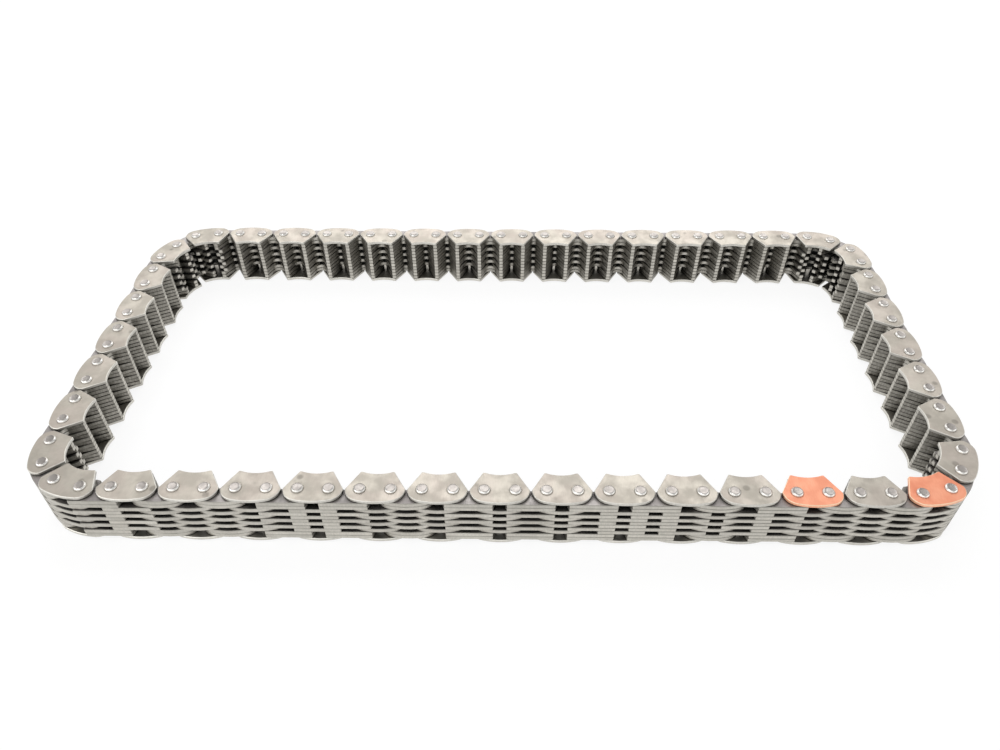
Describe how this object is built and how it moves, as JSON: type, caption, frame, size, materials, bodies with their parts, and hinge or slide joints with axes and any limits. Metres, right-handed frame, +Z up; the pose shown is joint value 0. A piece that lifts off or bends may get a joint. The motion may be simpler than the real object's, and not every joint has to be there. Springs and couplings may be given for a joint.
{
  "type": "transmission chain",
  "caption": "Endless silent transmission chain of toothed plates on riveted pins between guide plates, laid on its side as a rounded rectangle, with copper marker plates.",
  "frame": {"origin": "middle of the loop in plan, at the height of the lower pin ends that the chain lies on", "axes": "+X along the long runs, +Y from the front run to the back run, +Z up along the pins"},
  "size_m": [0.3052, 0.1518, 0.0218],
  "materials": {
    "link_steel": "satin",
    "marker_copper": "matte"
  },
  "bodies": {
    "front_left_guide_link_1": {"front_left_guide_link_1": "link_steel"},
    "front_left_inner_link_1": {"front_left_inner_link_1": "link_steel"},
    "front_left_guide_link_2": {"front_left_guide_link_2": "link_steel"},
    "front_left_inner_link_2": {"front_left_inner_link_2": "link_steel"},
    "front_links_1": {"front_links_1": "link_steel"},
    "front_links_2": {"front_links_2": "link_steel"},
    "front_links_3": {"front_links_3": "link_steel"},
    "front_links_4": {"front_links_4": "link_steel"},
    "front_links_5": {"front_links_5": "link_steel"},
    "front_links_6": {"front_links_6": "link_steel"},
    "front_links_7": {"front_links_7": "link_steel"},
    "front_links_8": {"front_links_8": "link_steel"},
    "front_links_9": {"front_links_9": "link_steel"},
    "front_links_10": {"front_links_10": "link_steel"},
    "front_links_11": {"front_links_11": "link_steel"},
    "front_links_12": {"front_links_12": "link_steel", "marker_plate_1": "marker_copper"},
    "front_links_13": {"front_links_13": "link_steel"},
    "front_right_guide_link_1": {"front_right_guide_link_1": "link_steel", "marker_plate_2": "marker_copper"},
    "front_right_inner_link_1": {"front_right_inner_link_1": "link_steel"},
    "front_right_guide_link_2": {"front_right_guide_link_2": "link_steel"},
    "front_right_inner_link_2": {"front_right_inner_link_2": "link_steel"},
    "right_links_1": {"right_links_1": "link_steel"},
    "right_links_2": {"right_links_2": "link_steel"},
    "right_links_3": {"right_links_3": "link_steel"},
    "right_links_4": {"right_links_4": "link_steel"},
    "right_links_5": {"right_links_5": "link_steel"},
    "back_right_guide_link_1": {"back_right_guide_link_1": "link_steel"},
    "back_right_inner_link_1": {"back_right_inner_link_1": "link_steel"},
    "back_right_guide_link_2": {"back_right_guide_link_2": "link_steel"},
    "back_right_inner_link_2": {"back_right_inner_link_2": "link_steel"},
    "back_links_1": {"back_links_1": "link_steel"},
    "back_links_2": {"back_links_2": "link_steel"},
    "back_links_3": {"back_links_3": "link_steel"},
    "back_links_4": {"back_links_4": "link_steel"},
    "back_links_5": {"back_links_5": "link_steel"},
    "back_links_6": {"back_links_6": "link_steel"},
    "back_links_7": {"back_links_7": "link_steel"},
    "back_links_8": {"back_links_8": "link_steel"},
    "back_links_9": {"back_links_9": "link_steel"},
    "back_links_10": {"back_links_10": "link_steel"},
    "back_links_11": {"back_links_11": "link_steel"},
    "back_links_12": {"back_links_12": "link_steel"},
    "back_links_13": {"back_links_13": "link_steel"},
    "back_left_guide_link_1": {"back_left_guide_link_1": "link_steel"},
    "back_left_inner_link_1": {"back_left_inner_link_1": "link_steel"},
    "back_left_guide_link_2": {"back_left_guide_link_2": "link_steel"},
    "back_left_inner_link_2": {"back_left_inner_link_2": "link_steel"},
    "left_links_1": {"left_links_1": "link_steel"},
    "left_links_2": {"left_links_2": "link_steel"},
    "left_links_3": {"left_links_3": "link_steel"},
    "left_links_4": {"left_links_4": "link_steel"},
    "left_links_5": {"left_links_5": "link_steel"}
  },
  "joints": [
    {"name": "long_run_bow", "type": "hinge", "parent": "front_links_7", "child": "front_links_8", "pos_m": [0.01235, -0.07081, 0], "axis": [0, 0, 1], "range_deg": [-10, 10]},
    {"name": "long_run_sway", "type": "hinge", "parent": "front_links_8", "child": "front_links_9", "pos_m": [0.0314, -0.07081, 0], "axis": [0, 0, 1], "range_deg": [-4, 4]},
    {"name": "hinge_at_pin_23", "type": "hinge", "parent": "front_links_9", "child": "front_links_10", "pos_m": [0.05045, -0.07081, 0], "axis": [0, 0, 1], "range_deg": [-5, 5]},
    {"name": "hinge_at_pin_25", "type": "hinge", "parent": "front_links_10", "child": "front_links_11", "pos_m": [0.0695, -0.07081, 0], "axis": [0, 0, 1], "range_deg": [-4, 4]},
    {"name": "hinge_at_pin_27", "type": "hinge", "parent": "front_links_11", "child": "front_links_12", "pos_m": [0.08855, -0.07081, 0], "axis": [0, 0, 1], "range_deg": [-5, 5]},
    {"name": "hinge_at_pin_29", "type": "hinge", "parent": "front_links_12", "child": "front_links_13", "pos_m": [0.1076, -0.07081, 0], "axis": [0, 0, 1], "range_deg": [-4, 4]},
    {"name": "hinge_at_pin_31", "type": "hinge", "parent": "front_links_13", "child": "front_right_guide_link_1", "pos_m": [0.12665, -0.07081, 0], "axis": [0, 0, 1], "range_deg": [-1.8, 2.4]},
    {"name": "chain_advance", "type": "hinge", "parent": "front_right_guide_link_1", "child": "front_right_inner_link_1", "pos_m": [0.13596, -0.06883, 0], "axis": [0, 0, 1], "range_deg": [-3.9, 5.2]},
    {"name": "hinge_at_pin_33", "type": "hinge", "parent": "front_right_inner_link_1", "child": "front_right_guide_link_2", "pos_m": [0.14209, -0.06153, 0], "axis": [0, 0, 1], "range_deg": [-4.4, 3.3]},
    {"name": "hinge_at_pin_34", "type": "hinge", "parent": "front_right_guide_link_2", "child": "front_right_inner_link_2", "pos_m": [0.14596, -0.05283, 0], "axis": [0, 0, 1], "range_deg": [-1.05, 1.4]},
    {"name": "hinge_at_pin_35", "type": "hinge", "parent": "front_right_inner_link_2", "child": "right_links_1", "pos_m": [0.14613, -0.04331, 0], "axis": [0, 0, 1], "range_deg": [-4.6, 3.45]},
    {"name": "hinge_at_pin_37", "type": "hinge", "parent": "right_links_1", "child": "right_links_2", "pos_m": [0.14646, -0.02426, 0], "axis": [0, 0, 1], "range_deg": [-9, 9]},
    {"name": "short_run_bow", "type": "hinge", "parent": "right_links_2", "child": "right_links_3", "pos_m": [0.14679, -0.00521, 0], "axis": [0, 0, 1], "range_deg": [-9, 9]},
    {"name": "hinge_at_pin_41", "type": "hinge", "parent": "right_links_3", "child": "right_links_4", "pos_m": [0.14712, 0.01383, 0], "axis": [0, 0, 1], "range_deg": [-9, 9]},
    {"name": "hinge_at_pin_43", "type": "hinge", "parent": "right_links_4", "child": "right_links_5", "pos_m": [0.14746, 0.03288, 0], "axis": [0, 0, 1], "range_deg": [-9, 9]},
    {"name": "hinge_at_pin_45", "type": "hinge", "parent": "right_links_5", "child": "back_right_guide_link_1", "pos_m": [0.14779, 0.05193, 0], "axis": [0, 0, 1], "range_deg": [-1.5, 2]},
    {"name": "hinge_at_pin_46", "type": "hinge", "parent": "back_right_guide_link_1", "child": "back_right_inner_link_1", "pos_m": [0.1463, 0.06133, 0], "axis": [0, 0, 1], "range_deg": [-3.75, 5]},
    {"name": "hinge_at_pin_47", "type": "hinge", "parent": "back_right_inner_link_1", "child": "back_right_guide_link_2", "pos_m": [0.13968, 0.06819, 0], "axis": [0, 0, 1], "range_deg": [-1, 0.75]},
    {"name": "hinge_at_pin_48", "type": "hinge", "parent": "back_right_guide_link_2", "child": "back_right_inner_link_2", "pos_m": [0.13053, 0.07081, 0], "axis": [0, 0, 1], "range_deg": [-2.8, 2.1]},
    {"name": "hinge_at_pin_49", "type": "hinge", "parent": "back_right_inner_link_2", "child": "back_links_1", "pos_m": [0.121, 0.07081, 0], "axis": [0, 0, 1], "range_deg": [-3.2, 2.4]},
    {"name": "hinge_at_pin_51", "type": "hinge", "parent": "back_links_1", "child": "back_links_2", "pos_m": [0.10195, 0.07081, 0], "axis": [0, 0, 1], "range_deg": [-4, 4]},
    {"name": "hinge_at_pin_53", "type": "hinge", "parent": "back_links_2", "child": "back_links_3", "pos_m": [0.0829, 0.07081, 0], "axis": [0, 0, 1], "range_deg": [-5, 5]},
    {"name": "hinge_at_pin_55", "type": "hinge", "parent": "back_links_3", "child": "back_links_4", "pos_m": [0.06385, 0.07081, 0], "axis": [0, 0, 1], "range_deg": [-4, 4]},
    {"name": "hinge_at_pin_57", "type": "hinge", "parent": "back_links_4", "child": "back_links_5", "pos_m": [0.0448, 0.07081, 0], "axis": [0, 0, 1], "range_deg": [-5, 5]},
    {"name": "hinge_at_pin_59", "type": "hinge", "parent": "back_links_5", "child": "back_links_6", "pos_m": [0.02575, 0.07081, 0], "axis": [0, 0, 1], "range_deg": [-4, 4]},
    {"name": "hinge_at_pin_61", "type": "hinge", "parent": "back_links_6", "child": "back_links_7", "pos_m": [0.0067, 0.07081, 0], "axis": [0, 0, 1], "range_deg": [-10, 10]},
    {"name": "hinge_at_pin_17", "type": "hinge", "parent": "front_links_7", "child": "front_links_6", "pos_m": [-0.0067, -0.07081, 0], "axis": [0, 0, 1], "range_deg": [-10, 10]},
    {"name": "hinge_at_pin_15", "type": "hinge", "parent": "front_links_6", "child": "front_links_5", "pos_m": [-0.02575, -0.07081, 0], "axis": [0, 0, 1], "range_deg": [-4, 4]},
    {"name": "hinge_at_pin_13", "type": "hinge", "parent": "front_links_5", "child": "front_links_4", "pos_m": [-0.0448, -0.07081, 0], "axis": [0, 0, 1], "range_deg": [-5, 5]},
    {"name": "hinge_at_pin_11", "type": "hinge", "parent": "front_links_4", "child": "front_links_3", "pos_m": [-0.06385, -0.07081, 0], "axis": [0, 0, 1], "range_deg": [-4, 4]},
    {"name": "hinge_at_pin_09", "type": "hinge", "parent": "front_links_3", "child": "front_links_2", "pos_m": [-0.0829, -0.07081, 0], "axis": [0, 0, 1], "range_deg": [-5, 5]},
    {"name": "hinge_at_pin_07", "type": "hinge", "parent": "front_links_2", "child": "front_links_1", "pos_m": [-0.10195, -0.07081, 0], "axis": [0, 0, 1], "range_deg": [-4, 4]},
    {"name": "hinge_at_pin_05", "type": "hinge", "parent": "front_links_1", "child": "front_left_inner_link_2", "pos_m": [-0.121, -0.07081, 0], "axis": [0, 0, 1], "range_deg": [-2.4, 3.2]},
    {"name": "hinge_at_pin_04", "type": "hinge", "parent": "front_left_inner_link_2", "child": "front_left_guide_link_2", "pos_m": [-0.13053, -0.07081, 0], "axis": [0, 0, 1], "range_deg": [-2.1, 2.8]},
    {"name": "hinge_at_pin_03", "type": "hinge", "parent": "front_left_guide_link_2", "child": "front_left_inner_link_1", "pos_m": [-0.13968, -0.06819, 0], "axis": [0, 0, 1], "range_deg": [-0.75, 1]},
    {"name": "hinge_at_pin_02", "type": "hinge", "parent": "front_left_inner_link_1", "child": "front_left_guide_link_1", "pos_m": [-0.1463, -0.06133, 0], "axis": [0, 0, 1], "range_deg": [-5, 3.75]},
    {"name": "hinge_at_pin_01", "type": "hinge", "parent": "front_left_guide_link_1", "child": "left_links_5", "pos_m": [-0.14779, -0.05193, 0], "axis": [0, 0, 1], "range_deg": [-2, 1.5]},
    {"name": "hinge_at_pin_87", "type": "hinge", "parent": "left_links_5", "child": "left_links_4", "pos_m": [-0.14746, -0.03288, 0], "axis": [0, 0, 1], "range_deg": [-9, 9]},
    {"name": "hinge_at_pin_85", "type": "hinge", "parent": "left_links_4", "child": "left_links_3", "pos_m": [-0.14712, -0.01383, 0], "axis": [0, 0, 1], "range_deg": [-9, 9]},
    {"name": "hinge_at_pin_83", "type": "hinge", "parent": "left_links_3", "child": "left_links_2", "pos_m": [-0.14679, 0.00521, 0], "axis": [0, 0, 1], "range_deg": [-9, 9]},
    {"name": "hinge_at_pin_81", "type": "hinge", "parent": "left_links_2", "child": "left_links_1", "pos_m": [-0.14646, 0.02426, 0], "axis": [0, 0, 1], "range_deg": [-9, 9]},
    {"name": "hinge_at_pin_79", "type": "hinge", "parent": "left_links_1", "child": "back_left_inner_link_2", "pos_m": [-0.14613, 0.04331, 0], "axis": [0, 0, 1], "range_deg": [-3.45, 4.6]},
    {"name": "hinge_at_pin_78", "type": "hinge", "parent": "back_left_inner_link_2", "child": "back_left_guide_link_2", "pos_m": [-0.14596, 0.05283, 0], "axis": [0, 0, 1], "range_deg": [-1.4, 1.05]},
    {"name": "hinge_at_pin_77", "type": "hinge", "parent": "back_left_guide_link_2", "child": "back_left_inner_link_1", "pos_m": [-0.14209, 0.06153, 0], "axis": [0, 0, 1], "range_deg": [-3.3, 4.4]},
    {"name": "hinge_at_pin_76", "type": "hinge", "parent": "back_left_inner_link_1", "child": "back_left_guide_link_1", "pos_m": [-0.13596, 0.06883, 0], "axis": [0, 0, 1], "range_deg": [-5.2, 3.9]},
    {"name": "hinge_at_pin_75", "type": "hinge", "parent": "back_left_guide_link_1", "child": "back_links_13", "pos_m": [-0.12665, 0.07081, 0], "axis": [0, 0, 1], "range_deg": [-2.4, 1.8]},
    {"name": "hinge_at_pin_73", "type": "hinge", "parent": "back_links_13", "child": "back_links_12", "pos_m": [-0.1076, 0.07081, 0], "axis": [0, 0, 1], "range_deg": [-4, 4]},
    {"name": "hinge_at_pin_71", "type": "hinge", "parent": "back_links_12", "child": "back_links_11", "pos_m": [-0.08855, 0.07081, 0], "axis": [0, 0, 1], "range_deg": [-5, 5]},
    {"name": "hinge_at_pin_69", "type": "hinge", "parent": "back_links_11", "child": "back_links_10", "pos_m": [-0.0695, 0.07081, 0], "axis": [0, 0, 1], "range_deg": [-4, 4]},
    {"name": "hinge_at_pin_67", "type": "hinge", "parent": "back_links_10", "child": "back_links_9", "pos_m": [-0.05045, 0.07081, 0], "axis": [0, 0, 1], "range_deg": [-5, 5]},
    {"name": "hinge_at_pin_65", "type": "hinge", "parent": "back_links_9", "child": "back_links_8", "pos_m": [-0.0314, 0.07081, 0], "axis": [0, 0, 1], "range_deg": [-4, 4]}
  ],
  "couplings": [
    {"joint": "hinge_at_pin_23", "follows": "long_run_bow", "ratio": -0.5},
    {"joint": "hinge_at_pin_25", "follows": "long_run_sway", "ratio": 1},
    {"joint": "hinge_at_pin_27", "follows": "long_run_bow", "ratio": -0.5},
    {"joint": "hinge_at_pin_29", "follows": "long_run_sway", "ratio": 1},
    {"joint": "hinge_at_pin_31", "follows": "chain_advance", "ratio": 0.46154},
    {"joint": "hinge_at_pin_33", "follows": "chain_advance", "ratio": -0.84615},
    {"joint": "hinge_at_pin_34", "follows": "chain_advance", "ratio": 0.26923},
    {"joint": "hinge_at_pin_35", "follows": "chain_advance", "ratio": -0.88462},
    {"joint": "hinge_at_pin_37", "follows": "short_run_bow", "ratio": -1},
    {"joint": "hinge_at_pin_41", "follows": "short_run_bow", "ratio": 1},
    {"joint": "hinge_at_pin_43", "follows": "short_run_bow", "ratio": -1},
    {"joint": "hinge_at_pin_45", "follows": "chain_advance", "ratio": 0.38462},
    {"joint": "hinge_at_pin_46", "follows": "chain_advance", "ratio": 0.96154},
    {"joint": "hinge_at_pin_47", "follows": "chain_advance", "ratio": -0.19231},
    {"joint": "hinge_at_pin_48", "follows": "chain_advance", "ratio": -0.53846},
    {"joint": "hinge_at_pin_49", "follows": "chain_advance", "ratio": -0.61538},
    {"joint": "hinge_at_pin_51", "follows": "long_run_sway", "ratio": -1},
    {"joint": "hinge_at_pin_53", "follows": "long_run_bow", "ratio": -0.5},
    {"joint": "hinge_at_pin_55", "follows": "long_run_sway", "ratio": -1},
    {"joint": "hinge_at_pin_57", "follows": "long_run_bow", "ratio": -0.5},
    {"joint": "hinge_at_pin_59", "follows": "long_run_sway", "ratio": -1},
    {"joint": "hinge_at_pin_61", "follows": "long_run_bow", "ratio": 1},
    {"joint": "hinge_at_pin_17", "follows": "long_run_bow", "ratio": -1},
    {"joint": "hinge_at_pin_15", "follows": "long_run_sway", "ratio": 1},
    {"joint": "hinge_at_pin_13", "follows": "long_run_bow", "ratio": 0.5},
    {"joint": "hinge_at_pin_11", "follows": "long_run_sway", "ratio": 1},
    {"joint": "hinge_at_pin_09", "follows": "long_run_bow", "ratio": 0.5},
    {"joint": "hinge_at_pin_07", "follows": "long_run_sway", "ratio": 1},
    {"joint": "hinge_at_pin_05", "follows": "chain_advance", "ratio": 0.61538},
    {"joint": "hinge_at_pin_04", "follows": "chain_advance", "ratio": 0.53846},
    {"joint": "hinge_at_pin_03", "follows": "chain_advance", "ratio": 0.19231},
    {"joint": "hinge_at_pin_02", "follows": "chain_advance", "ratio": -0.96154},
    {"joint": "hinge_at_pin_01", "follows": "chain_advance", "ratio": -0.38462},
    {"joint": "hinge_at_pin_87", "follows": "short_run_bow", "ratio": 1},
    {"joint": "hinge_at_pin_85", "follows": "short_run_bow", "ratio": -1},
    {"joint": "hinge_at_pin_83", "follows": "short_run_bow", "ratio": -1},
    {"joint": "hinge_at_pin_81", "follows": "short_run_bow", "ratio": 1},
    {"joint": "hinge_at_pin_79", "follows": "chain_advance", "ratio": 0.88462},
    {"joint": "hinge_at_pin_78", "follows": "chain_advance", "ratio": -0.26923},
    {"joint": "hinge_at_pin_77", "follows": "chain_advance", "ratio": 0.84615},
    {"joint": "hinge_at_pin_76", "follows": "chain_advance", "ratio": -1},
    {"joint": "hinge_at_pin_75", "follows": "chain_advance", "ratio": -0.46154},
    {"joint": "hinge_at_pin_73", "follows": "long_run_sway", "ratio": -1},
    {"joint": "hinge_at_pin_71", "follows": "long_run_bow", "ratio": 0.5},
    {"joint": "hinge_at_pin_69", "follows": "long_run_sway", "ratio": -1},
    {"joint": "hinge_at_pin_67", "follows": "long_run_bow", "ratio": 0.5},
    {"joint": "hinge_at_pin_65", "follows": "long_run_sway", "ratio": -1}
  ]
}
